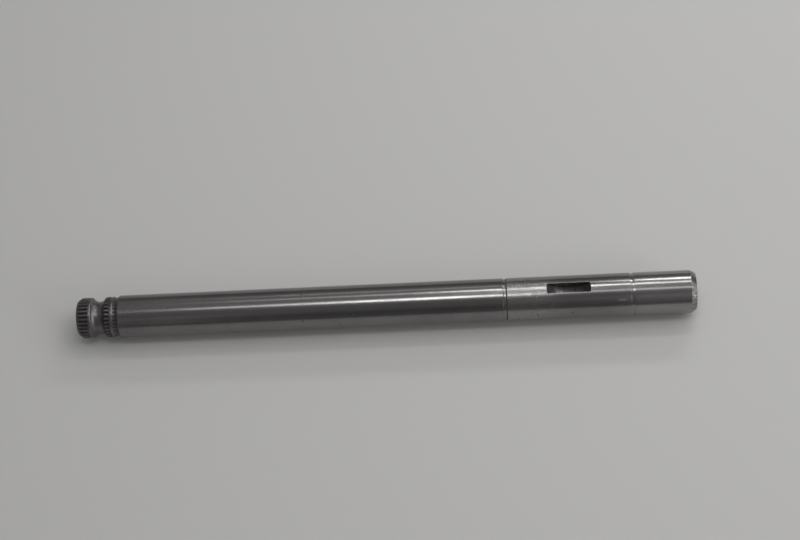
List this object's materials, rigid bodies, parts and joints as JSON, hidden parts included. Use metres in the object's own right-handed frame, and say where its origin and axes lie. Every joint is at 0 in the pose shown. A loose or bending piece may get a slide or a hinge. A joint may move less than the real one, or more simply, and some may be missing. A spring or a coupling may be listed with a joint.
{
  "type": "gear shift shaft",
  "caption": "Round ground steel gear shift shaft with a serrated lever end, a clamp bolt groove, a smooth collar, ring grooves and a half-moon keyseat for the shift arm.",
  "frame": {"origin": "on the shaft's axis, in the plane of the serrated lever end's face", "axes": "+X along the shaft's axis towards the plain end, +Z out of the keyseat, +Y completes the right-handed frame"},
  "size_m": [0.174, 0.012, 0.012],
  "materials": {
    "ground_steel": "ground and polished bare steel, dark grey, duller at the serration and on the arm seat"
  },
  "bodies": {
    "root": {"shift_shaft": "ground_steel"}
  },
  "joints": []
}
